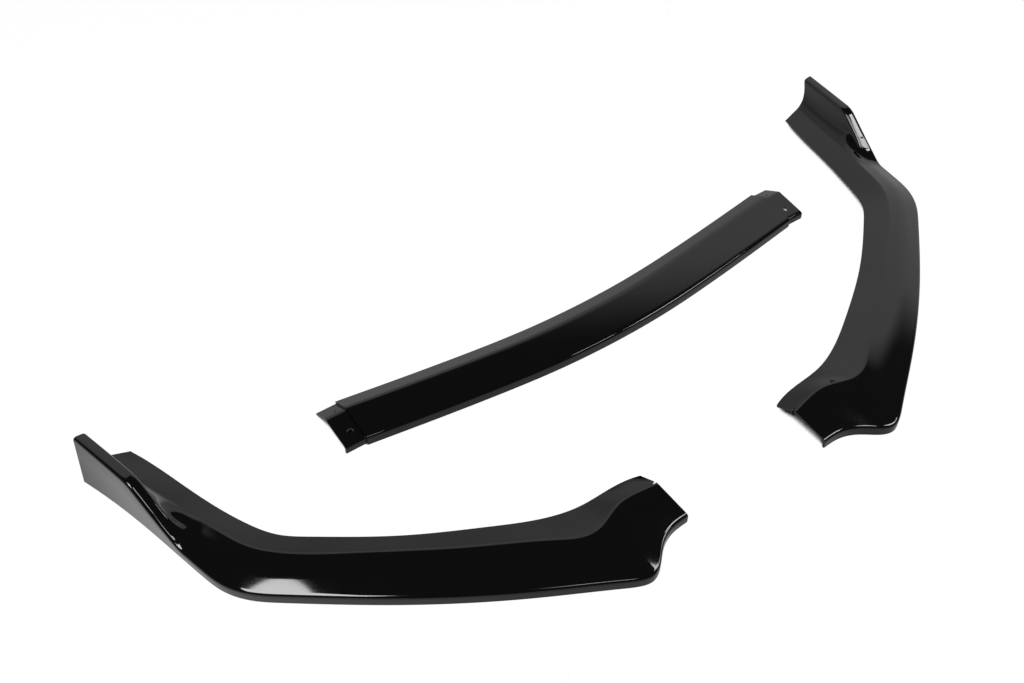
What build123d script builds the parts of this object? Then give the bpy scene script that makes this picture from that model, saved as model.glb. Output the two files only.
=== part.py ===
from build123d import *
import os
from dataclasses import dataclass
from math import atan2, cos, hypot, pi, sin, tan

# A front splitter lip in three thin mouldings, laid out on the floor: a bowed centre
# section and two handed corner sections with a fin at the rear. +X is the left side of
# the car, -Y its front and +Z up. The skirts stand on Z = 0.

# Moulded sheet
wall = 3.0
skirt_height = 14.0
edge_round = 2.0
crease_round = 2.5
panel_crown = 0.08

# Section where a corner meets the centre: a panel that climbs from the skirt to a ridge,
# then a fixing flange that falls to the rear edge
joint_panel = 56.0
joint_depth = 85.0
joint_ridge = 22.0
joint_flange = 6.5

# Centre section, bowed forwards, with a joggled tab at each end that the corners lap over
centre_half = 377.0
bow_middle = 170.0
bow_slope = 0.125
bow_end_radius = 6400.0
centre_stations = 9
tab_length = 30.0
tab_clearance = 0.2
joggle_length = 3.0
clip_hole = 8.0
clip_hole_inset = 11.5
clip_hole_back = 23.0
screw_hole = 3.5
screw_hole_back = 63.0

# Corner section, measured outwards and rearwards from its joint, with a tip that leads
# the joint at the front. Its stations stand closer together at both ends.
corner_reach = 548.0
corner_sweep = 523.0
tip_reach = 93.0
tip_lead = 36.5
corner_stations = 48
station_bunching = 0.5

# Fin that rises from the corner's skirt, with a flat-topped blade
fin_height = 71.0
fin_start = 343.0
fin_crest = 428.0
fin_corner_radius = 30.0
fin_lean = 8.5
fin_rake = 0.15
blade = 17.0
blade_round = 5.0
blade_rise = 34.0
valley_angle = -0.6

# Relief slit between flange and panel at the corner's joint
slit_width = 4.0
slit_length = 5.0

# Layout on the floor: where each corner's joint lies from the front of the centre
# section, and how far the corner is turned
left_joint = (101.0, -306.0)
left_turn = 2.3
right_joint = (-120.0, -292.0)
right_turn = 3.6


@dataclass
class Turn:
    """Corner of a skin, with the headings before and after it and how far its rounding reaches."""

    point: tuple[float, float]
    before: float
    after: float
    reach: float = 0.0


@dataclass
class Skin:
    """One skin of a cross-section, as distances inwards from the skirt's foot and heights."""

    foot: tuple[float, float]
    turns: list[Turn]
    tail: tuple[float, float]


def ahead(point: tuple, angle: float, distance: float) -> tuple:
    """Point at a distance along a heading."""
    return (point[0] + distance * cos(angle), point[1] + distance * sin(angle))


def heading(start: tuple, end: tuple) -> float:
    """Heading from one point to another."""
    return atan2(end[1] - start[1], end[0] - start[0])


def between(start: float, end: float, share: float) -> float:
    """Value part of the way from one to another."""
    return start + (end - start) * share


def plain_skin(crest: tuple, ridge: tuple, tail: tuple) -> Skin:
    """Outer skin of a section without a fin."""
    foot = (0.0, 0.0)
    skirt, panel, flange = heading(foot, crest), heading(crest, ridge), heading(ridge, tail)
    return Skin(foot, [Turn(crest, skirt, panel, edge_round), Turn(ridge, panel, flange, crease_round)], tail)


def finned_skin(crest: tuple, ridge: tuple, tail: tuple, bulge: float) -> Skin:
    """Outer skin of a section with a bulging panel, whose crest may stand up as a blade."""
    rise = min(1.0, max(0.0, (crest[1] - skirt_height) / blade_rise))
    fin = rise * rise * (3 - 2 * rise)
    foot = (0.0, 0.0)
    skirt, panel, flange = heading(foot, crest), heading(crest, ridge), heading(ridge, tail)
    crown = between(panel + bulge, skirt - pi / 2, fin)
    inner = between(panel + bulge, skirt - pi, fin)
    valley = between(panel - bulge, valley_angle, fin)
    reach = between(edge_round, blade_round, fin)
    turns = [
        Turn(crest, skirt, crown, reach),
        Turn(ahead(crest, crown, blade), crown, inner, reach),
        Turn(ridge, valley, flange, crease_round),
    ]
    return Skin(foot, turns, tail)


def nested(skin: Skin, depth: float, rounded: bool) -> Skin:
    """Skin that lies a depth inside another one."""

    def moved(turn: Turn) -> Turn:
        reach = depth / cos((turn.after - turn.before) / 2)
        point = ahead(turn.point, (turn.before + turn.after) / 2 - pi / 2, reach)
        return Turn(point, turn.before, turn.after, turn.reach if rounded else 0.0)

    foot = (skin.foot[0] + depth / sin(skin.turns[0].before), skin.foot[1])
    tail = ahead(skin.tail, skin.turns[-1].after - pi / 2, depth)
    return Skin(foot, [moved(turn) for turn in skin.turns], tail)


def run(start: tuple, end: tuple, reach: float) -> Edge:
    """Line, or a curve where the headings differ, that leaves one point and meets the next."""
    (first, leave), (last, meet) = start, end
    if leave == meet:
        return Line(first, last)
    pull = reach * hypot(last[0] - first[0], last[1] - first[1])
    return Bezier(first, ahead(first, leave, pull), ahead(last, meet, -pull), last)


def skin_edges(skin: Skin) -> list[Edge]:
    """Skirt, panel and flange of one skin, with the bends between them."""
    edges = []
    start = (skin.foot, skin.turns[0].before)
    for turn in skin.turns:
        arrive = (ahead(turn.point, turn.before, -turn.reach), turn.before)
        leave = (ahead(turn.point, turn.after, turn.reach), turn.after)
        edges.append(run(start, arrive, 0.4))
        angle = max(abs(turn.after - turn.before), 0.001)
        if turn.reach:
            edges.append(run(arrive, leave, 2 / 3 * tan(angle / 4) / sin(angle / 2)))
        start = leave
    return edges + [Line(start[0], skin.tail)]


def sheet_face(plane: Plane, outer: Skin, inner: Skin) -> Face:
    """Cut face of the sheet between an outer and an inner skin, on its section plane."""
    ends = [Line(outer.foot, inner.foot), Line(outer.tail, inner.tail)]
    return plane.location * Face(Wire(skin_edges(outer) + ends + skin_edges(inner)))


def cut(line: Edge, plane: Plane) -> Vector:
    """Point where a guide line passes through a section plane."""

    def side(share: float) -> float:
        return (line @ share - plane.origin).dot(plane.z_dir)

    marks = [step / 24 for step in range(25)]
    sides = [side(mark) for mark in marks]
    found = [step for step in range(24) if sides[step] * sides[step + 1] <= 0]
    if not found:
        return line @ (0 if abs(sides[0]) < abs(sides[-1]) else 1)
    low, high, low_side = marks[found[0]], marks[found[0] + 1], sides[found[0]]
    for _ in range(30):
        middle = (low + high) / 2
        if low_side * side(middle) <= 0:
            high = middle
        else:
            low = middle
    return line @ low


def near_joint(width: float, height: float, *marks: tuple) -> list:
    """Guide points at the corner's joint, as shares of the tip's reach, a width and a height."""
    return [(tip_reach * x, width * y, height * z) for x, y, z in marks]


def along_corner(height: float, *marks: tuple) -> list:
    """Guide points further on, as shares of the corner's reach and sweep, and of a height."""
    return [(corner_reach * x, corner_sweep * y, height * z) for x, y, z in marks]


# Guide lines of the left corner, outwards along X and rearwards along Y from its joint
with BuildLine() as guides:
    foot_line = Spline(
        *near_joint(
            -tip_lead, 0, (0, 0, 0), (0.26, 0.02, 0), (0.495, 0.22, 0), (0.71, 0.63, 0), (0.86, 0.905, 0),
            (1, 1, 0), (1.14, 0.905, 0), (1.355, 0.59, 0),
        ),
        *along_corner(
            0, (0.3934, 0.066, 0), (0.6193, 0.2352, 0), (0.8124, 0.4054, 0), (0.8634, 0.457, 0),
            (0.898, 0.5163, 0), (0.914, 0.5813, 0), (0.938, 0.7228, 0), (0.9685, 0.8795, 0), (1, 1, 0),
        ),
        tangents=((1, 0), (0.29, 0.957)), tangent_scalars=(1, 1),
    )
    ridge_line = Spline(
        *near_joint(
            joint_panel, joint_ridge, (0, 1, 1), (0.323, 1.08, 1.09), (0.624, 1.098, 1.16), (0.86, 0.991, 1.18),
            (1.118, 0.866, 1.18), (1.312, 0.893, 1.18), (1.656, 1.214, 1.205),
        ),
        *along_corner(
            joint_ridge, (0.4444, 0.2419, 1.227), (0.6339, 0.3805, 1.318), (0.7541, 0.478, 1.364),
            (0.8087, 0.5488, 1.364), (0.8361, 0.6252, 1.305), (0.8889, 0.8184, 1), (0.9308, 1, 0.91),
        ),
    )
    tail_line = Spline(
        *near_joint(
            joint_depth, joint_flange, (0, 1, 1), (0.473, 1.1, 1.08), (0.989, 1.135, 1.23), (1.398, 1.259, 1.31),
        ),
        *along_corner(
            joint_flange, (0.3607, 0.2677, 1.846), (0.5301, 0.3748, 2.215), (0.6849, 0.501, 2.308),
            (0.7341, 0.5507, 2.154), (0.7705, 0.6233, 1.692), (0.8251, 0.8031, 1.385), (0.878, 1, 1.292),
        ),
    )
    spine = Spline(
        (0, 0.8 * joint_panel, 0),
        *along_corner(
            0, (0.2, 0.1, 0), (0.474, 0.229, 0), (0.729, 0.428, 0), (0.823, 0.5545, 0), (0.878, 0.7266, 0),
            (0.918, 1, 0),
        ),
        tangents=((1, 0), (0, 1)), tangent_scalars=(1, 1),
    )

# Side elevation of the skirt's upper edge, which climbs into the fin
with BuildLine(Plane.YZ) as elevation:
    crest_line = FilletPolyline(
        (-corner_sweep, skirt_height), (fin_start, skirt_height), (fin_crest, fin_height),
        (2 * corner_sweep, fin_height), radius=fin_corner_radius,
    )


def corner_face(step: int) -> Face:
    """Cut face of a corner square to its spine, raked towards the rear, as the guide lines give it there."""
    share = step / corner_stations
    share -= station_bunching * sin(2 * pi * share) / (2 * pi)
    along = (spine % share).normalized()
    inwards = (-along.Y, along.X, 0)
    foot = cut(foot_line, Plane(spine @ share, x_dir=inwards, z_dir=along))
    crest = cut(crest_line, Plane((0, foot.Y, 0), x_dir=(1, 0, 0), z_dir=(0, 1, 0)))
    lean = fin_lean * (max(0.0, foot.Y - fin_start) / (corner_sweep - fin_start)) ** 2
    rake = fin_rake * max(0.0, foot.Y - fin_crest) / (corner_sweep - fin_crest)
    plane = Plane(foot, x_dir=inwards, z_dir=along * cos(rake) - Vector(0, 0, sin(rake)))
    ridge, tail = cut(ridge_line, plane) - foot, cut(tail_line, plane) - foot
    outer = finned_skin(
        crest=(lean, crest.Z),
        ridge=(ridge.dot(plane.x_dir), ridge.dot(plane.y_dir)),
        tail=(tail.dot(plane.x_dir), tail.dot(plane.y_dir)),
        bulge=panel_crown * sin(pi * share),
    )
    return sheet_face(plane, outer, nested(outer, wall, rounded=False))


def bow(x: float) -> float:
    """How far the centre section's skirt falls back from its middle: an arc, then flatter ends."""
    near = min(abs(x), bow_middle)
    far = abs(x) - near
    return bow_slope * near * near / bow_middle / 2 + bow_slope * far + far * far / bow_end_radius / 2


def centre_face(x: float, outer: Skin, inner: Skin) -> Face:
    """Fore-and-aft cut face of the centre section."""
    return sheet_face(Plane((x, bow(x), 0), x_dir=(0, 1, 0), z_dir=(1, 0, 0)), outer, inner)


joint_skin = plain_skin((0.0, skirt_height), (joint_panel, joint_ridge), (joint_depth, joint_flange))
tab_skin = nested(joint_skin, wall + tab_clearance, rounded=True)
tab_inside = nested(tab_skin, wall, rounded=False)
joggle_skin = nested(joint_skin, wall / 2, rounded=True)

centre_faces = [
    centre_face(between(-centre_half, centre_half, step / (centre_stations - 1)), joint_skin, inside)
    for inside in [nested(joint_skin, wall, rounded=False)]
    for step in range(centre_stations)
]
joggle_faces = [
    centre_face(x, joggle_skin, tab_inside) for x in (centre_half - joggle_length, centre_half)
]
tab_face = centre_face(centre_half, tab_skin, tab_inside)
corner_faces = [corner_face(step) for step in range(corner_stations + 1)]

with BuildPart() as centre:
    loft(centre_faces)
    loft(joggle_faces)
    extrude(tab_face, amount=tab_length, dir=(1, 0, 0))
    mirror(about=Plane.YZ)
    hole_x = centre_half + clip_hole_inset
    for hole, back in ((clip_hole, clip_hole_back), (screw_hole, screw_hole_back)):
        with Locations(*[(x, bow(centre_half) + back, joint_ridge) for x in (-hole_x, hole_x)]):
            Hole(hole / 2)

with BuildPart() as corner:
    loft(corner_faces)
    with BuildSketch(Plane.XY):
        with Locations((0, joint_panel + slit_width / 2 + 1)):
            Rectangle(2 * slit_length, slit_width)
    extrude(amount=2 * joint_ridge, mode=Mode.SUBTRACT)

# The right corner is the left one mirrored. The origin is on the floor, in the middle of the layout.
left_place = Pos(*left_joint) * Rot(0, 0, left_turn)
right_place = Pos(*right_joint) * Rot(0, 0, right_turn)
mirrored_corner = mirror(corner.part, about=Plane.YZ)
layout = Compound([centre.part, left_place * corner.part, right_place * mirrored_corner]).bounding_box()
home = Pos(-layout.center().X, -layout.center().Y, 0)

with BuildPart() as centre_section:
    with Locations(home):
        add(centre.part)

with BuildPart() as corner_left:
    with Locations(home * left_place):
        add(corner.part)

with BuildPart() as corner_right:
    with Locations(home * right_place):
        add(mirrored_corner)

os.makedirs("parts", exist_ok=True)
centre_section.part.label = "centre_section"
export_step(centre_section.part, "parts/centre_section.step")
corner_left.part.label = "corner_left"
export_step(corner_left.part, "parts/corner_left.step")
corner_right.part.label = "corner_right"
export_step(corner_right.part, "parts/corner_right.step")
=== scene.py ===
"""Studio scene of a front splitter lip in three gloss black mouldings."""

import logging
import math
from dataclasses import dataclass, field
from enum import Enum

import bmesh
import bpy
from mathutils import Matrix, Vector
from mathutils.geometry import interpolate_bezier


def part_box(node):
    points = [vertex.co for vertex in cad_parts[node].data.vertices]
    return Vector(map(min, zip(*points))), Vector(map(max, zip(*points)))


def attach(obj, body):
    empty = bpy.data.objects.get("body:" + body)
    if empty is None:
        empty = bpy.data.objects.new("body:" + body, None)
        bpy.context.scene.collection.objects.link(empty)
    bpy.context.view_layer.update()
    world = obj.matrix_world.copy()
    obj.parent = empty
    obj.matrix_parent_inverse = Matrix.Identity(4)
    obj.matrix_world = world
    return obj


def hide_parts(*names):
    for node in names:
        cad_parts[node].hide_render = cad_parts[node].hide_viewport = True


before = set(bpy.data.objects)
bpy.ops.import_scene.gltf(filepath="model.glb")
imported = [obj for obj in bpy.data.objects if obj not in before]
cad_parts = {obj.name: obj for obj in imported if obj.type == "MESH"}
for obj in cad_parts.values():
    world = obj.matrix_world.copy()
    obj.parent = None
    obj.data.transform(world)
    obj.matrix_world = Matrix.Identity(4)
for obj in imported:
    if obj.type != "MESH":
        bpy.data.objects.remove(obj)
LOG = logging.getLogger("splitter_lip")
MM = 0.001
Wire = bpy.types.NodeSocket | float | tuple[float, ...]


class Moulding(Enum):
    """The three mouldings, by the name of their solid and of their finish's slot."""

    CENTRE = ("centre_section", "centre_gloss")
    LEFT_CORNER = ("corner_left", "corner_gloss")
    RIGHT_CORNER = ("corner_right", "corner_gloss")

    @property
    def node(self) -> str:
        """Name of the solid."""
        return self.value[0]

    @property
    def slot(self) -> str:
        """Name of the finish's slot."""
        return self.value[1]


class NodeBoard:
    """Node tree that is wired up step by step."""

    def __init__(self, tree: bpy.types.NodeTree) -> None:
        """Take on a node tree."""
        self.nodes, self.links = tree.nodes, tree.links

    def add(self, kind: str, **inputs: Wire) -> bpy.types.Node:
        """Add a node.

        Args:
            kind: Type of the node.
            inputs: What goes into its inputs, by their names.

        Returns:
            The node.
        """
        node = self.nodes.new(kind)
        for name, value in inputs.items():
            self.feed(node.inputs[name], value)
        return node

    def feed(self, socket: bpy.types.NodeSocket, value: Wire) -> None:
        """Link an output to an input, or set the input to a number or colour."""
        if isinstance(value, bpy.types.NodeSocket):
            self.links.new(value, socket)
        else:
            socket.default_value = value

    def fade(
        self, value: Wire, span: tuple[float, float], levels: tuple[float, float], smooth: bool = True
    ) -> bpy.types.NodeSocket:
        """Run from one level to another while a value crosses a span.

        Args:
            value: The value.
            span: Where the change begins and ends.
            levels: Levels before and after.
            smooth: Whether the change starts and stops softly.

        Returns:
            The level.
        """
        step = self.add("ShaderNodeMapRange", Value=value)
        step.interpolation_type = "SMOOTHSTEP" if smooth else "LINEAR"
        for name, number in zip(("From Min", "From Max", "To Min", "To Max"), (*span, *levels)):
            step.inputs[name].default_value = number
        return step.outputs["Result"]

    def joined(self, work: str, *values: Wire) -> bpy.types.NodeSocket:
        """Work out a sum, a product or the like.

        Args:
            work: What to do with the values.
            values: The values.

        Returns:
            The result.
        """
        step = self.add("ShaderNodeMath")
        step.operation = work
        for socket, value in zip(step.inputs, values):
            self.feed(socket, value)
        return step.outputs["Value"]


@dataclass(frozen=True)
class GlossPlastic:
    """Injection-moulded black plastic with a wet-looking skin.

    Attributes:
        name: Name of the material.
        colour: Linear colour of the plastic.
        ior: Refractive index of the plastic.
        polish: Roughness of the best-polished skin.
        haze: Roughness where handling has dulled it a little.
        haze_span: Values of the cloudy pattern between which the polish gives way to haze.
        haze_detail: Fineness of that pattern.
        flow_size: Size in metres of the slow waves left by the mould.
        flow_height: Height in metres of those waves.
    """

    name: str = "gloss_black_plastic"
    colour: tuple[float, float, float, float] = (0.0027, 0.0027, 0.0029, 1.0)
    ior: float = 1.5
    polish: float = 0.03
    haze: float = 0.07
    haze_span: tuple[float, float] = (0.4, 0.7)
    haze_detail: float = 4.0
    flow_size: float = 0.09
    flow_height: float = 0.00004

    def build(self) -> bpy.types.Material:
        """Make the material's nodes.

        Returns:
            The finished material.
        """
        material = bpy.data.materials.new(self.name)
        material.use_nodes = True
        board = NodeBoard(material.node_tree)
        shader = board.nodes["Principled BSDF"]
        shader.inputs["Base Color"].default_value = self.colour
        shader.inputs["IOR"].default_value = self.ior

        place = board.add("ShaderNodeTexCoord").outputs["Object"]
        scale = 1.0 / self.flow_size
        clouds = board.add("ShaderNodeTexNoise", Vector=place, Scale=scale, Detail=self.haze_detail)
        haze = board.fade(clouds.outputs["Fac"], self.haze_span, (self.polish, self.haze), smooth=False)
        board.feed(shader.inputs["Roughness"], haze)

        waves = board.add("ShaderNodeTexNoise", Vector=place, Scale=scale, Detail=0.0)
        height = waves.outputs["Fac"]
        relief = board.add("ShaderNodeBump", Strength=1.0, Distance=self.flow_height, Height=height)
        board.feed(shader.inputs["Normal"], relief.outputs["Normal"])
        return material


def ahead(point: Vector, angle: float, distance: float) -> Vector:
    """Point at a distance along a heading."""
    return point + distance * Vector((math.cos(angle), math.sin(angle)))


def heading(start: Vector, end: Vector) -> float:
    """Heading from one point to another."""
    return math.atan2(end.y - start.y, end.x - start.x)


def between(start: float, end: float, share: float) -> float:
    """Value part of the way from one to another."""
    return start + (end - start) * share


def sweep(start: Vector, leave: float, end: Vector, meet: float, reach: float, parts: int) -> list[Vector]:
    """Points of a curve that leaves one point on a heading and meets the next on another.

    Args:
        start: First point, which isn't repeated.
        leave: Heading there.
        end: Last point.
        meet: Heading there.
        reach: Length of the curve's handles as a share of the distance.
        parts: Number of points.

    Returns:
        The points.
    """
    pull = reach * (end - start).length
    return interpolate_bezier(start, ahead(start, leave, pull), ahead(end, meet, -pull), end, parts + 1)[1:]


@dataclass(frozen=True)
class Turn:
    """Corner of a skin, with the headings before and after it and how far its rounding reaches."""

    point: Vector
    before: float
    after: float
    reach: float = 0.0


@dataclass(frozen=True)
class Skin:
    """One skin of a cross-section, as distances inwards from the skirt's foot and heights."""

    foot: Vector
    turns: tuple[Turn, ...]
    tail: Vector

    def nested(self, depth: float, rounded: bool) -> "Skin":
        """Skin that lies a depth inside this one.

        Args:
            depth: How deep it lies.
            rounded: Whether its corners keep their rounding.

        Returns:
            The other skin.
        """
        turns = []
        for turn in self.turns:
            away = depth / math.cos((turn.after - turn.before) / 2)
            point = ahead(turn.point, (turn.before + turn.after - math.pi) / 2, away)
            turns.append(Turn(point, turn.before, turn.after, turn.reach if rounded else 0.0))
        foot = self.foot + Vector((depth / math.sin(self.turns[0].before), 0.0))
        return Skin(foot, tuple(turns), ahead(self.tail, self.turns[-1].after - math.pi / 2, depth))

    def trace(self, parts: tuple[int, ...], bend: int = 8, flange: int = 4) -> list[Vector]:
        """Points along the skin from foot to tail.

        Args:
            parts: Number of points on the way to each turn.
            bend: Number of points round a turn.
            flange: Number of points from the last turn to the tail.

        Returns:
            The points.
        """
        points = [self.foot]
        leave = self.turns[0].before
        for turn, count in zip(self.turns, parts):
            arrive = ahead(turn.point, turn.before, -turn.reach)
            reach = 1 / 3 if leave == turn.before else 0.4
            points += sweep(points[-1], leave, arrive, turn.before, reach, count)
            if turn.reach:
                angle = max(abs(turn.after - turn.before), 0.001)
                pull = 2 / 3 * math.tan(angle / 4) / math.sin(angle / 2)
                depart = ahead(turn.point, turn.after, turn.reach)
                points += sweep(arrive, turn.before, depart, turn.after, pull, bend)
            leave = turn.after
        return points + sweep(points[-1], leave, self.tail, leave, 1 / 3, flange)


class GuideLine:
    """Line through a few points that runs on smoothly from span to span."""

    def __init__(
        self, points: list[Vector], ends: tuple[Vector, Vector] | None = None, fine: int = 64
    ) -> None:
        """Work out the line.

        Args:
            points: Points that it passes through.
            ends: Slopes at its first and last point, or none to carry on from the points nearby.
            fine: Number of steps in a span.
        """
        lengths = [(b - a).length for a, b in zip(points, points[1:])]
        if ends is None:
            ends = self.end_slope(points[:4], lengths[:3]), -self.end_slope(points[:-5:-1], lengths[:-4:-1])
        slopes = self.slopes(points, lengths, ends)
        self.trail = [points[0]]
        for step, length in enumerate(lengths):
            start, end = points[step], points[step + 1]
            first, second = start + slopes[step] * length / 3, end - slopes[step + 1] * length / 3
            self.trail += interpolate_bezier(start, first, second, end, fine + 1)[1:]

    @staticmethod
    def end_slope(points: list[Vector], lengths: list[float]) -> Vector:
        """Slope at the first of four points of the one cubic through them.

        Args:
            points: The points.
            lengths: Distances between them.

        Returns:
            The slope.
        """
        marks = [sum(lengths[:step]) for step in range(4)]
        slope = points[0] * sum(-1 / mark for mark in marks[1:])
        for one in (1, 2, 3):
            others = [mark for step, mark in enumerate(marks) if step not in (0, one)]
            weight = math.prod(-mark for mark in others)
            weight /= marks[one] * math.prod(marks[one] - mark for mark in others)
            slope = slope + points[one] * weight
        return slope

    @staticmethod
    def slopes(points: list[Vector], lengths: list[float], ends: tuple[Vector, Vector]) -> list[Vector]:
        """Slopes at all points that let the curvature run on from span to span.

        Args:
            points: The points.
            lengths: Distances between them.
            ends: Slopes at the first and last point.

        Returns:
            The slopes.
        """
        shares, sums = [0.0], [ends[0]]
        for step in range(1, len(points) - 1):
            before, after = lengths[step - 1], lengths[step]
            rise = (points[step] - points[step - 1]) * (3 * after / before)
            rise = rise + (points[step + 1] - points[step]) * (3 * before / after)
            pivot = 2 * (before + after) - after * shares[-1]
            sums.append((rise - after * sums[-1]) / pivot)
            shares.append(before / pivot)
        found = [ends[1]]
        for share, total in zip(reversed(shares), reversed(sums)):
            found.append(total - share * found[-1])
        return found[::-1]

    def at(self, share: float) -> tuple[Vector, Vector]:
        """Place and direction part of the way along.

        Args:
            share: How far along.

        Returns:
            The point and the direction.
        """
        place = share * (len(self.trail) - 1)
        step = min(int(place), len(self.trail) - 2)
        low, high = self.trail[step], self.trail[step + 1]
        before, after = self.trail[max(step - 1, 0)], self.trail[min(step + 2, len(self.trail) - 1)]
        slope = (high - before).lerp(after - low, place - step)
        return low.lerp(high, place - step), slope.normalized()

    def along(self, share: float) -> tuple[Vector, Vector]:
        """Place and direction at a share of the line's length.

        Args:
            share: The share.

        Returns:
            The point and the direction.
        """
        lengths = [0.0]
        for low, high in zip(self.trail, self.trail[1:]):
            lengths.append(lengths[-1] + (high - low).length)
        goal = share * lengths[-1]
        step = min(sum(length <= goal for length in lengths), len(lengths) - 1) - 1
        inside = (goal - lengths[step]) / (lengths[step + 1] - lengths[step])
        return self.at((step + inside) / (len(lengths) - 1))

    def crossing(self, origin: Vector, normal: Vector) -> Vector:
        """First point where the line passes through a plane.

        Args:
            origin: A point of the plane.
            normal: The plane's normal.

        Returns:
            The point, or the nearer end where the line stays on one side.
        """
        sides = [(point - origin).dot(normal) for point in self.trail]
        for step, (low, high) in enumerate(zip(sides, sides[1:])):
            if low * high <= 0 and low != high:
                return self.trail[step].lerp(self.trail[step + 1], low / (low - high))
        return self.trail[0] if abs(sides[0]) < abs(sides[-1]) else self.trail[-1]


@dataclass(frozen=True)
class SheetForm:
    """Sizes in millimetres of the moulded sheet and of its section at the joints.

    Attributes:
        wall: Thickness of the sheet.
        skirt_height: Height of the skirt.
        edge_round: How far the rounding of the front edge reaches.
        crease_round: How far the rounding of the ridge reaches.
        panel_crown: Angle by which a corner's panel bulges.
        joint_panel: Distance from the skirt to the ridge at a joint.
        joint_depth: Distance from the skirt to the flange's rear edge there.
        joint_ridge: Height of the ridge there.
        joint_flange: Height of the flange's rear edge there.
    """

    wall: float = 3.0
    skirt_height: float = 14.0
    edge_round: float = 3.5
    crease_round: float = 2.5
    panel_crown: float = 0.08
    joint_panel: float = 56.0
    joint_depth: float = 85.0
    joint_ridge: float = 22.0
    joint_flange: float = 6.5

    def joint_skin(self) -> Skin:
        """Outer skin of the section at the joints."""
        foot, crest = Vector((0.0, 0.0)), Vector((0.0, self.skirt_height))
        ridge = Vector((self.joint_panel, self.joint_ridge))
        tail = Vector((self.joint_depth, self.joint_flange))
        panel = heading(crest, ridge)
        edge = Turn(crest, heading(foot, crest), panel, self.edge_round)
        return Skin(foot, (edge, Turn(ridge, panel, heading(ridge, tail), self.crease_round)), tail)


@dataclass(frozen=True)
class FinForm:
    """Sizes in millimetres of the fin at a corner's rear.

    Attributes:
        height: Height of its crest.
        start: How far behind the joint it begins to rise.
        crest: How far behind the joint it is in full.
        corner_radius: Radius where its rise begins and ends.
        lean: How far its rear end leans in.
        rake: Angle by which its rear end is raked.
        blade: Width of its crest.
        blade_round: How far the rounding of its crest reaches.
        blade_rise: Rise over which the edge of the panel turns into the blade.
        valley_angle: Angle at which the panel meets the ridge behind the blade.
    """

    height: float = 71.0
    start: float = 343.0
    crest: float = 428.0
    corner_radius: float = 30.0
    lean: float = 8.5
    rake: float = 0.15
    blade: float = 17.0
    blade_round: float = 5.0
    blade_rise: float = 34.0
    valley_angle: float = -0.6

    def crest_height(self, back: float, skirt_height: float) -> float:
        """Height of the skirt's upper edge.

        Args:
            back: Distance behind the joint.
            skirt_height: Height before the fin.

        Returns:
            The height.
        """
        rise, run, radius = self.height - skirt_height, self.crest - self.start, self.corner_radius
        slope = math.atan2(rise, run)
        near = radius * math.tan(slope / 2)
        over = near * math.cos(slope)
        if back <= self.start - near:
            return skirt_height
        if back < self.start + over:
            return skirt_height + radius - math.sqrt(radius**2 - (back - self.start + near) ** 2)
        if back < self.crest - over:
            return skirt_height + (back - self.start) * rise / run
        if back < self.crest + near:
            return self.height - radius + math.sqrt(radius**2 - (self.crest + near - back) ** 2)
        return self.height

    def stance(self, behind: float, back: float) -> tuple[float, float]:
        """Lean and rake at a place along the fin.

        Args:
            behind: How far behind the joint the place is.
            back: How far behind the joint the fin ends.

        Returns:
            How far it leans in and the angle that it is raked.
        """
        lean = self.lean * (max(0.0, behind - self.start) / (back - self.start)) ** 2
        return lean, self.rake * max(0.0, behind - self.crest) / (back - self.crest)

    def skin(self, sheet: SheetForm, crest: Vector, ridge: Vector, tail: Vector, bulge: float) -> Skin:
        """Outer skin of a section whose crest may stand up as a blade.

        Args:
            sheet: Sizes of the sheet.
            crest: Top of the skirt.
            ridge: Top of the panel.
            tail: Rear edge of the flange.
            bulge: Angle by which the panel bulges.

        Returns:
            The skin.
        """
        rise = min(1.0, max(0.0, (crest.y - sheet.skirt_height) / self.blade_rise))
        fin = rise * rise * (3 - 2 * rise)
        foot = Vector((0.0, 0.0))
        skirt, panel, flange = heading(foot, crest), heading(crest, ridge), heading(ridge, tail)
        crown = between(panel + bulge, skirt - math.pi / 2, fin)
        inner = between(panel + bulge, skirt - math.pi, fin)
        reach = between(sheet.edge_round, self.blade_round, fin)
        turns = (
            Turn(crest, skirt, crown, reach),
            Turn(ahead(crest, crown, self.blade), crown, inner, reach),
            Turn(ridge, between(panel - bulge, self.valley_angle, fin), flange, sheet.crease_round),
        )
        return Skin(foot, turns, tail)


def new_object(name: str, form: bmesh.types.BMesh) -> bpy.types.Object:
    """Put a shape into the scene.

    Args:
        name: Name of the object.
        form: The shape, which is used up.

    Returns:
        The object.
    """
    bmesh.ops.recalc_face_normals(form, faces=form.faces)
    mesh = bpy.data.meshes.new(name)
    form.to_mesh(mesh)
    form.free()
    thing = bpy.data.objects.new(name, mesh)
    bpy.context.collection.objects.link(thing)
    return thing


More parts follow.
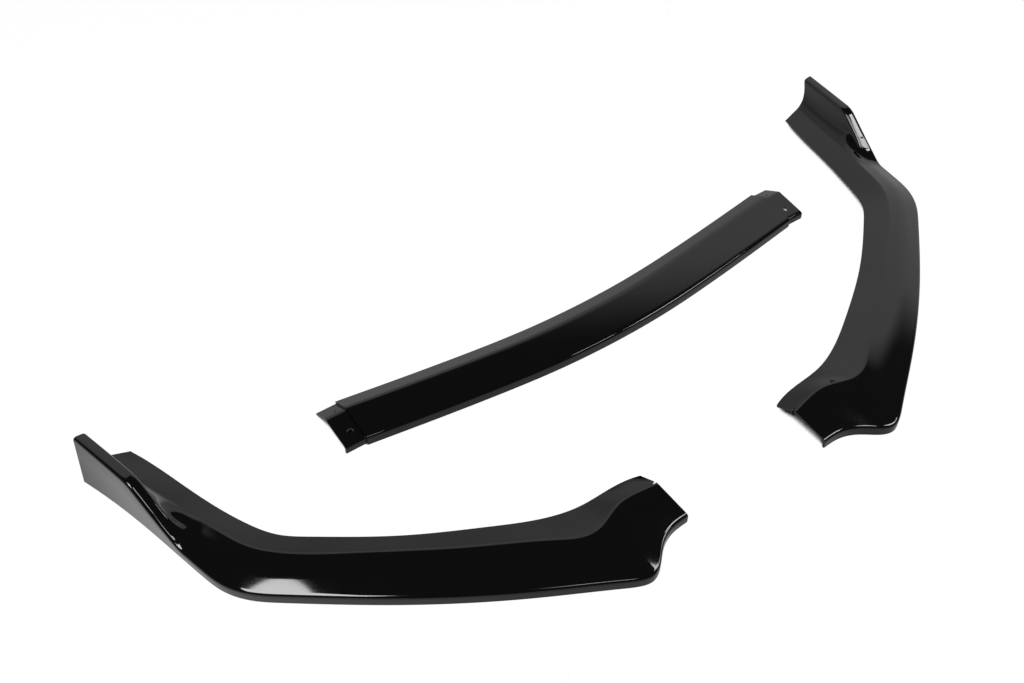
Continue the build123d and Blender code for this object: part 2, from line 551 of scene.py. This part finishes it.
@dataclass
class LipMoulding:
    """One moulding of the lip.

    Attributes:
        moulding: Which moulding it is.
        finish: Material of its skin.
        centre_front: Middle of the centre section's front, on the floor, in metres.
        sheet: Sizes of the sheet.
        sharp_angle: Angle in degrees above which an edge stays sharp.
    """

    moulding: Moulding
    finish: bpy.types.Material
    centre_front: Vector
    sheet: SheetForm = SheetForm()
    sharp_angle: float = 35.0

    def place(self) -> Matrix:
        """Where the moulding's own millimetres lie in the layout."""
        return Matrix.Translation(self.centre_front) @ Matrix.Scale(MM, 4)

    def rings(self) -> list[list[Vector]]:
        """Closed outlines of the sheet from one end to the other."""
        raise NotImplementedError

    def cutter(self) -> bmesh.types.BMesh:
        """Shape that is cut out of the sheet."""
        raise NotImplementedError

    def build(self) -> bpy.types.Object:
        """Make the moulding.

        Returns:
            The finished piece.
        """
        piece = new_object(f"{self.moulding.node}_skin", self.loft(self.rings()))
        tool = new_object(f"{self.moulding.node}_cutter", self.cutter())
        cut = piece.modifiers.new("cut", "BOOLEAN")
        cut.object = tool
        cut.solver = "EXACT"
        sheet = piece.evaluated_get(bpy.context.evaluated_depsgraph_get())
        piece.data = bpy.data.meshes.new_from_object(sheet)
        piece.modifiers.clear()
        bpy.data.objects.remove(tool)
        self.shade(piece.data)
        piece.data.transform(self.place())
        if self.place().is_negative:
            piece.data.flip_normals()
        piece.data.materials.clear()
        piece.data.materials.append(self.finish)
        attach(piece, "root")
        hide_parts(self.moulding.node)
        LOG.info("made %s with %d faces", piece.name, len(piece.data.polygons))
        return piece

    @staticmethod
    def loft(rings: list[list[Vector]]) -> bmesh.types.BMesh:
        """Extrude the first ring along the others and close both ends.

        Args:
            rings: Outlines with the same number of points.

        Returns:
            The shape.
        """
        form = bmesh.new()
        verts = [form.verts.new(point) for point in rings[0]]
        edges = [form.edges.new(pair) for pair in zip(verts, verts[1:] + verts[:1])]
        bmesh.ops.contextual_create(form, geom=edges)
        for ring in rings[1:]:
            made = bmesh.ops.extrude_edge_only(form, edges=edges)["geom"]
            fresh = {item for item in made if isinstance(item, bmesh.types.BMVert)}
            verts = [
                next(other for edge in vert.link_edges if (other := edge.other_vert(vert)) in fresh)
                for vert in verts
            ]
            for vert, point in zip(verts, ring):
                vert.co = point
            edges = [form.edges.get(pair) for pair in zip(verts, verts[1:] + verts[:1])]
        bmesh.ops.contextual_create(form, geom=edges)
        return form

    def shade(self, mesh: bpy.types.Mesh) -> None:
        """Shade the skin smooth but for its sharp edges.

        Args:
            mesh: The skin.
        """
        form = bmesh.new()
        form.from_mesh(mesh)
        limit = math.radians(self.sharp_angle)
        for face in form.faces:
            face.smooth = True
        for edge in form.edges:
            edge.smooth = edge.calc_face_angle(math.pi) < limit
        form.to_mesh(mesh)
        form.free()


@dataclass
class CentreSection(LipMoulding):
    """Bowed middle of the lip, with a joggled tab at each end.

    Attributes:
        half: Half its length in millimetres, without the tabs.
        bow_middle: How far from the middle the tighter bow reaches.
        bow_slope: Slope that the bow has there.
        bow_end_radius: Radius of the bow from there on.
        bow_marks: Number of points that the bow passes through.
        stations: Number of outlines.
        tab_length: Length of a tab.
        tab_drop: How far a tab lies under the skin of a corner.
        joggle_length: Length of the thick step before a tab.
        hole_inset: How far along the tab its holes lie.
        holes: Distance from the skirt and width of each hole of a tab.
        skin_parts: Number of points up the skirt and across the panel.
    """

    half: float = 377.0
    bow_middle: float = 170.0
    bow_slope: float = 0.125
    bow_end_radius: float = 6400.0
    bow_marks: int = 9
    stations: int = 96
    tab_length: float = 30.0
    tab_drop: float = 3.2
    joggle_length: float = 3.0
    hole_inset: float = 11.5
    holes: tuple[tuple[float, float], ...] = ((23.0, 8.0), (63.0, 3.5))
    skin_parts: tuple[int, int] = (2, 12)

    def bow(self, x: float) -> float:
        """How far the skirt falls back from the middle."""
        near = min(abs(x), self.bow_middle)
        far = abs(x) - near
        arc = self.bow_slope * near * near / self.bow_middle / 2
        return arc + self.bow_slope * far + far * far / self.bow_end_radius / 2

    def ring(self, foot: Vector, outer: Skin, inner: Skin) -> list[Vector]:
        """Fore-and-aft outline of the sheet.

        Args:
            foot: Foot of the skirt.
            outer: Its outer skin.
            inner: Its inner skin.

        Returns:
            The outline.
        """
        outline = outer.trace(self.skin_parts) + inner.trace(self.skin_parts)[::-1]
        return [foot + Vector((0.0, point.x, point.y)) for point in outline]

    def rings(self) -> list[list[Vector]]:
        """Closed outlines of the sheet from the right tab to the left one."""
        outer = self.sheet.joint_skin()
        inner = outer.nested(self.sheet.wall, rounded=False)
        tab = outer.nested(self.tab_drop, rounded=True)
        under = tab.nested(self.sheet.wall, rounded=False)
        spans = self.bow_marks - 1
        marks = [between(-self.half, self.half, step / spans) for step in range(self.bow_marks)]
        front = GuideLine([Vector((x, self.bow(x), 0.0)) for x in marks])
        inset = self.half - self.joggle_length
        end = Vector((self.half, self.bow(self.half), 0.0))
        outwards = Vector((1.0, 0.0, 0.0))
        feet = [
            front.crossing(outwards * between(-inset, inset, step / self.stations), outwards)
            for step in range(self.stations + 1)
        ]
        left = [self.ring(feet[-1], outer, under)]
        left += [self.ring(end, outer, under), self.ring(end, tab, under)]
        left += [self.ring(end + outwards * self.tab_length, tab, under)]
        right = [[Vector((-point.x, point.y, point.z)) for point in outline] for outline in reversed(left)]
        return right + [self.ring(foot, outer, inner) for foot in feet] + left

    def cutter(self) -> bmesh.types.BMesh:
        """Upright pins where the tabs have holes."""
        form = bmesh.new()
        for side in (-1, 1):
            for back, width in self.holes:
                spot = Vector((side * (self.half + self.hole_inset), self.bow(self.half) + back, 0.0))
                bmesh.ops.create_cone(
                    form, cap_ends=True, segments=48, radius1=width / 2, radius2=width / 2,
                    depth=4 * self.sheet.joint_ridge, matrix=Matrix.Translation(spot),
                )
        return form


@dataclass
class CornerSection(LipMoulding):
    """Corner of the lip, which sweeps round to a fin at its rear.

    Attributes:
        joint: Where its joint lies from the front of the centre section, in millimetres.
        turn: Degrees that it is turned.
        mirrored: Whether it is the right-hand one.
        fin: Sizes of the fin.
        reach: How far outwards it goes.
        back: How far rearwards it goes.
        tip_reach: How far outwards its tip lies.
        tip_lead: How far the tip leads the joint.
        stations: Number of outlines.
        bunching: How much closer the outlines stand at both ends.
        slit: Width and length of the relief slit at the joint.
        slit_setback: How far behind the ridge the slit begins.
        skin_parts: Number of points up the skirt, across the edge and across the panel.
    """

    joint: tuple[float, float] = (0.0, 0.0)
    turn: float = 0.0
    mirrored: bool = False
    fin: FinForm = FinForm()
    reach: float = 548.0
    back: float = 523.0
    tip_reach: float = 93.0
    tip_lead: float = 36.2
    stations: int = 192
    bunching: float = 0.5
    slit: tuple[float, float] = (4.0, 5.0)
    slit_setback: float = 1.0
    skin_parts: tuple[int, int, int] = (3, 6, 24)

    def place(self) -> Matrix:
        """Where the corner's own millimetres lie in the layout."""
        put = super().place() @ Matrix.Translation((*self.joint, 0.0))
        put = put @ Matrix.Rotation(math.radians(self.turn), 4, "Z")
        return put @ Matrix.Diagonal((-1.0 if self.mirrored else 1.0, 1.0, 1.0, 1.0))

    def near_joint(self, width: float, height: float, *marks: tuple) -> list[Vector]:
        """Guide points at the joint, as shares of the tip's reach, a width and a height."""
        return [Vector((self.tip_reach * x, width * y, height * z)) for x, y, z in marks]

    def further_on(self, height: float, *marks: tuple) -> list[Vector]:
        """Guide points further on, as shares of the corner's reach and sweep, and of a height."""
        return [Vector((self.reach * x, self.back * y, height * z)) for x, y, z in marks]

    def foot_line(self) -> GuideLine:
        """Line of the skirt's foot."""
        points = self.near_joint(
            -self.tip_lead, 0.0, (0, 0, 0), (0.26, 0.02, 0), (0.495, 0.22, 0), (0.71, 0.63, 0),
            (0.86, 0.905, 0), (1, 1, 0), (1.14, 0.905, 0), (1.355, 0.59, 0),
        )
        points += self.further_on(
            0.0, (0.3934, 0.066, 0), (0.6193, 0.2352, 0), (0.8124, 0.4054, 0), (0.8634, 0.457, 0),
            (0.898, 0.5163, 0), (0.914, 0.5813, 0), (0.938, 0.7228, 0), (0.9685, 0.8795, 0), (1, 1, 0),
        )
        return GuideLine(points, (Vector((1, 0, 0)), Vector((0.29, 0.957, 0))))

    def ridge_line(self) -> GuideLine:
        """Line of the panel's top."""
        ridge = self.sheet.joint_ridge
        points = self.near_joint(
            self.sheet.joint_panel, ridge, (0, 1, 1), (0.323, 1.08, 1.09), (0.624, 1.098, 1.16),
            (0.86, 0.991, 1.18), (1.118, 0.866, 1.18), (1.312, 0.893, 1.18), (1.656, 1.214, 1.205),
        )
        points += self.further_on(
            ridge, (0.4444, 0.2419, 1.227), (0.6339, 0.3805, 1.318), (0.7541, 0.478, 1.364),
            (0.8087, 0.5488, 1.364), (0.8361, 0.6252, 1.305), (0.8889, 0.8184, 1), (0.9308, 1, 0.91),
        )
        return GuideLine(points)

    def tail_line(self) -> GuideLine:
        """Line of the flange's rear edge."""
        flange = self.sheet.joint_flange
        points = self.near_joint(
            self.sheet.joint_depth, flange, (0, 1, 1.1), (0.473, 1.1, 1.18), (0.989, 1.135, 1.31),
            (1.398, 1.259, 1.36),
        )
        points += self.further_on(
            flange, (0.3607, 0.2677, 1.846), (0.5301, 0.3748, 2.215), (0.6849, 0.501, 2.308),
            (0.7341, 0.5507, 2.154), (0.7705, 0.6233, 1.692), (0.8251, 0.8031, 1.385), (0.878, 1, 1.292),
        )
        return GuideLine(points)

    def spine(self) -> GuideLine:
        """Line that the outlines stand square to."""
        points = [Vector((0.0, 0.8 * self.sheet.joint_panel, 0.0))]
        points += self.further_on(
            0.0, (0.2, 0.1, 0), (0.474, 0.229, 0), (0.729, 0.428, 0), (0.823, 0.5545, 0), (0.878, 0.7266, 0),
            (0.918, 1, 0),
        )
        return GuideLine(points, (Vector((1, 0, 0)), Vector((0, 1, 0))))

    def rings(self) -> list[list[Vector]]:
        """Closed outlines of the sheet from the joint to the fin's rear end."""
        lines = self.foot_line(), self.ridge_line(), self.tail_line()
        spine = self.spine()
        rings = []
        for station in range(self.stations + 1):
            share = station / self.stations
            share -= self.bunching * math.sin(2 * math.pi * share) / (2 * math.pi)
            origin, along = spine.along(share)
            if station in (0, self.stations):
                along = Vector((1, 0, 0)) if station == 0 else Vector((0, 1, 0))
            rings.append(self.ring(share, origin, along, lines))
        return rings

    def ring(
        self, share: float, origin: Vector, along: Vector, lines: tuple[GuideLine, GuideLine, GuideLine]
    ) -> list[Vector]:
        """Outline of the sheet square to the spine.

        Args:
            share: How far along the spine it stands.
            origin: Where it stands.
            along: Direction of the spine there.
            lines: Lines of the skirt's foot, the ridge and the flange's rear edge.

        Returns:
            The outline.
        """
        foot_line, ridge_line, tail_line = lines
        inwards = Vector((-along.y, along.x, 0.0))
        foot = foot_line.crossing(origin, along)
        lean, rake = self.fin.stance(foot.y, self.back)
        upwards = Vector((0.0, 0.0, math.cos(rake))) + along * math.sin(rake)
        square = inwards.cross(upwards)
        ridge, tail = ridge_line.crossing(foot, square) - foot, tail_line.crossing(foot, square) - foot
        outer = self.fin.skin(
            self.sheet,
            crest=Vector((lean, self.fin.crest_height(foot.y, self.sheet.skirt_height))),
            ridge=Vector((ridge.dot(inwards), ridge.dot(upwards))),
            tail=Vector((tail.dot(inwards), tail.dot(upwards))),
            bulge=self.sheet.panel_crown * math.sin(math.pi * share),
        )
        inner = outer.nested(self.sheet.wall, rounded=False)
        outline = outer.trace(self.skin_parts) + inner.trace(self.skin_parts)[::-1]
        return [foot + inwards * point.x + upwards * point.y for point in outline]

    def cutter(self) -> bmesh.types.BMesh:
        """Block where the relief slit is."""
        width, length = self.slit
        spot = Vector((0.0, self.sheet.joint_panel + self.slit_setback + width / 2, 0.0))
        form = bmesh.new()
        size = Matrix.Diagonal((2 * length, width, 4 * self.sheet.joint_ridge, 1.0))
        bmesh.ops.create_cube(form, size=1.0, matrix=Matrix.Translation(spot) @ size)
        return form


@dataclass(frozen=True)
class Softbox:
    """A rectangular studio lamp that faces straight down.

    Attributes:
        name: Name of the lamp.
        place: Where it hangs, in metres.
        size: Width and depth in metres.
        brightness: Brightness of its face.
        turn: Degrees that it is turned.
    """

    name: str
    place: tuple[float, float, float]
    size: tuple[float, float]
    brightness: float
    turn: float = 0.0

    def hang(self) -> bpy.types.Object:
        """Make the lamp.

        Returns:
            The lamp.
        """
        light = bpy.data.lights.new(self.name, "AREA")
        light.shape = "RECTANGLE"
        light.size, light.size_y = self.size
        light.energy = self.brightness * math.pi * light.size * light.size_y
        lamp = bpy.data.objects.new(self.name, light)
        lamp.location = self.place
        lamp.rotation_euler.z = math.radians(self.turn)
        bpy.context.collection.objects.link(lamp)
        LOG.info("hung %s", lamp.name)
        return lamp


@dataclass(frozen=True)
class Surround:
    """Soft light from the room: bright towards the rear, dark overhead and at the front.

    Attributes:
        dark: Brightness of the dark part.
        levels: Brightness of the bright part at its left and its right.
        side: How far to the right the one gives way to the other.
        edge_normal: Direction square to the slanting edge of the bright part.
        edge: Where along that direction the bright part ends and the dark one begins.
        rear: How far to the rear the dimmer band along the horizon begins and is in full.
        band: Height where that band is in full and where it ends.
        band_loss: Share of the brightness that the band lacks.
    """

    dark: float = 0.045
    levels: tuple[float, float] = (0.54, 0.72)
    side: tuple[float, float] = (-0.1, -0.03)
    edge_normal: tuple[float, float, float] = (-0.282, -0.89, 0.359)
    edge: tuple[float, float] = (-0.178, -0.104)
    rear: tuple[float, float] = (0.5, 0.9)
    band: tuple[float, float] = (0.2, 0.59)
    band_loss: float = 0.59

    def build(self) -> None:
        """Set up the room's light."""
        world = bpy.data.worlds.new("studio_surround")
        world.use_nodes = True
        bpy.context.scene.world = world
        board = NodeBoard(world.node_tree)
        place = board.add("ShaderNodeTexCoord").outputs["Generated"]
        split = board.add("ShaderNodeSeparateXYZ", Vector=place).outputs
        slant = board.add("ShaderNodeVectorMath")
        slant.operation = "DOT_PRODUCT"
        board.feed(slant.inputs[0], place)
        board.feed(slant.inputs[1], self.edge_normal)
        lit = board.fade(slant.outputs["Value"], self.edge, (1.0, 0.0))
        lit = board.joined("MULTIPLY", lit, board.fade(split["X"], self.side, self.levels))
        band = board.fade(split["Z"], self.band, (self.band_loss, 0.0))
        band = board.joined("MULTIPLY", band, board.fade(split["Y"], self.rear, (0.0, 1.0)))
        lit = board.joined("MULTIPLY", lit, board.joined("SUBTRACT", 1.0, band))
        light = board.nodes["Background"]
        board.feed(light.inputs["Color"], (1.0, 1.0, 1.0, 1.0))
        board.feed(light.inputs["Strength"], board.joined("ADD", lit, self.dark))
        LOG.info("lit the room")


@dataclass(frozen=True)
class Floor:
    """White studio floor, with painted shade where a moulding covers it and a painted pool of light in
    reflections.

    Attributes:
        half: Half its width in metres.
        colour: Colour of its paint.
        white: Brightness as it is seen.
        shadow_share: Share of its look that is plain paint, which takes shadows.
        shade_reach: How far in metres it looks up for a moulding, under which its shade is painted.
        shade_samples: Number of looks that it takes.
        painted_shade_range: Open share of its sky at which the painted shade is black and at which the floor
            is white.
        pool: Places across the floor where the painted pool of light at the left is in full and where it
            ends.
        pool_levels: Brightness of the floor in reflections, within the painted pool of light and away from
            it.
    """

    half: float = 200.0
    colour: tuple[float, float, float, float] = (0.85, 0.85, 0.85, 1.0)
    white: float = 1.06
    shadow_share: float = 0.1
    shade_reach: float = 0.05
    shade_samples: int = 16
    painted_shade_range: tuple[float, float] = (0.33, 0.38)
    pool: tuple[float, float] = (-0.68, -0.3)
    pool_levels: tuple[float, float] = (0.95, 0.45)

    def lay(self) -> bpy.types.Object:
        """Make the floor.

        Returns:
            The floor.
        """
        form = bmesh.new()
        bmesh.ops.create_grid(form, x_segments=1, y_segments=1, size=self.half)
        floor = new_object("studio_floor", form)
        floor.data.materials.append(self.paint())
        LOG.info("laid %s", floor.name)
        return floor

    def seen_level_with_painted_shade(self, board: NodeBoard) -> bpy.types.NodeSocket:
        """Brightness to the camera: white, but with shade painted dark where a moulding covers the floor.

        Args:
            board: The floor's nodes.

        Returns:
            The brightness.
        """
        # Painted shade: the occlusion probe darkens the floor's glow under the mouldings, as in the tab
        # holes.
        shade_probe = board.add("ShaderNodeAmbientOcclusion", Distance=self.shade_reach)
        shade_probe.samples = self.shade_samples
        return board.fade(shade_probe.outputs["AO"], self.painted_shade_range, (0.0, self.white), smooth=False)

    def reflected_level_with_painted_pool(self, board: NodeBoard) -> bpy.types.NodeSocket:
        """Brightness in reflections, with a painted pool of light at the left.

        Args:
            board: The floor's nodes.

        Returns:
            The brightness.
        """
        # Painted light: the floor glows brighter in reflections towards the left, a painted pool of light.
        place = board.add("ShaderNodeTexCoord").outputs["Object"]
        split = board.add("ShaderNodeSeparateXYZ", Vector=place)
        return board.fade(split.outputs["X"], self.pool, self.pool_levels)

    def paint(self) -> bpy.types.Material:
        """White paint that looks white to the camera, but for shade painted at covered spots.

        Returns:
            The floor's material.
        """
        material = bpy.data.materials.new("white_floor")
        material.use_nodes = True
        board = NodeBoard(material.node_tree)
        board.nodes.clear()
        path = board.add("ShaderNodeLightPath").outputs
        level = board.add("ShaderNodeMix")
        level.data_type = "FLOAT"
        parts = path["Is Camera Ray"], self.reflected_level_with_painted_pool(board), self.seen_level_with_painted_shade(board)
        for socket, value in zip((level.inputs[0], level.inputs[2], level.inputs[3]), parts):
            board.feed(socket, value)

        seen = board.joined("MAXIMUM", path["Is Camera Ray"], path["Is Glossy Ray"])
        seen = board.joined("MAXIMUM", seen, path["Is Transmission Ray"])
        paint = board.add("ShaderNodeBsdfDiffuse", Color=self.colour)
        white = board.add("ShaderNodeEmission", Strength=level.outputs[0])
        mix = board.add("ShaderNodeMixShader", Fac=board.joined("MULTIPLY", seen, 1.0 - self.shadow_share))
        board.feed(mix.inputs[1], paint.outputs["BSDF"])
        board.feed(mix.inputs[2], white.outputs["Emission"])
        board.add("ShaderNodeOutputMaterial", Surface=mix.outputs["Shader"])
        return material


@dataclass
class Studio:
    """White floor, soft surround and lamps.

    Attributes:
        floor: The floor.
        surround: The room's light.
        lamps: The lamps.
    """

    floor: Floor = Floor()
    surround: Surround = Surround()
    lamps: tuple[Softbox, ...] = field(
        default=(
            Softbox("left_softbox", (-1.575, -0.415, 2.2), (1.02, 1.0), 14.0, 43.8),
            Softbox("front_softbox", (-0.2, -0.95, 2.2), (0.4, 0.3), 10.0),
            Softbox("right_softbox", (0.895, -0.43, 0.93), (0.43, 0.36), 12.0),
            Softbox("right_strip", (1.165, -0.35, 0.93), (0.07, 0.3), 13.0),
            Softbox("middle_softbox", (0.465, -0.22, 0.93), (0.17, 0.16), 12.0),
        )
    )

    def build(self) -> None:
        """Lay the floor, set the surround and hang the lamps."""
        self.floor.lay()
        self.surround.build()
        for lamp in self.lamps:
            lamp.hang()


@dataclass(frozen=True)
class PhotoCamera:
    """Camera at the photograph's viewing angle.

    Attributes:
        stand: Where it stands from the middle of the centre section's front, in metres.
        pitch: Degrees that it looks down.
        heading: Degrees that it is turned from straight back towards the left of the car.
        focal_share: Focal length as a share of the picture's width.
    """

    stand: tuple[float, float, float] = (-0.8070, -0.8882, 1.2200)
    pitch: float = 45.634
    heading: float = 35.376
    focal_share: float = 1215.0 / 1024.0

    def set_up(self, centre_front: Vector) -> bpy.types.Object:
        """Make the camera and look through it.

        Args:
            centre_front: Middle of the centre section's front, on the floor.

        Returns:
            The camera.
        """
        data = bpy.data.cameras.new("photo_camera")
        data.sensor_fit = "HORIZONTAL"
        data.lens = data.sensor_width * self.focal_share
        camera = bpy.data.objects.new("photo_camera", data)
        camera.location = centre_front + Vector(self.stand)
        camera.rotation_euler = (math.radians(90.0 - self.pitch), 0.0, math.radians(-self.heading))
        bpy.context.collection.objects.link(camera)
        bpy.context.scene.camera = camera
        LOG.info("set up %s", camera.name)
        return camera


def main() -> None:
    """Make the mouldings, set up the studio and the camera."""
    logging.basicConfig(level=logging.INFO, format="%(message)s")
    bpy.context.scene.view_settings.view_transform = "Standard"
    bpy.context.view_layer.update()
    finish = GlossPlastic().build()
    low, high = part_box(Moulding.CENTRE.node)
    front = Vector(((low.x + high.x) / 2, low.y, 0.0))
    CentreSection(Moulding.CENTRE, finish, front).build()
    left = CornerSection(Moulding.LEFT_CORNER, finish, front, joint=(101.0, -306.0), turn=2.3)
    left.build()
    right = CornerSection(
        Moulding.RIGHT_CORNER, finish, front, joint=(-120.0, -292.0), turn=3.6, mirrored=True
    )
    right.build()
    Studio().build()
    PhotoCamera().set_up(front)


if __name__ == "__main__":
    main()
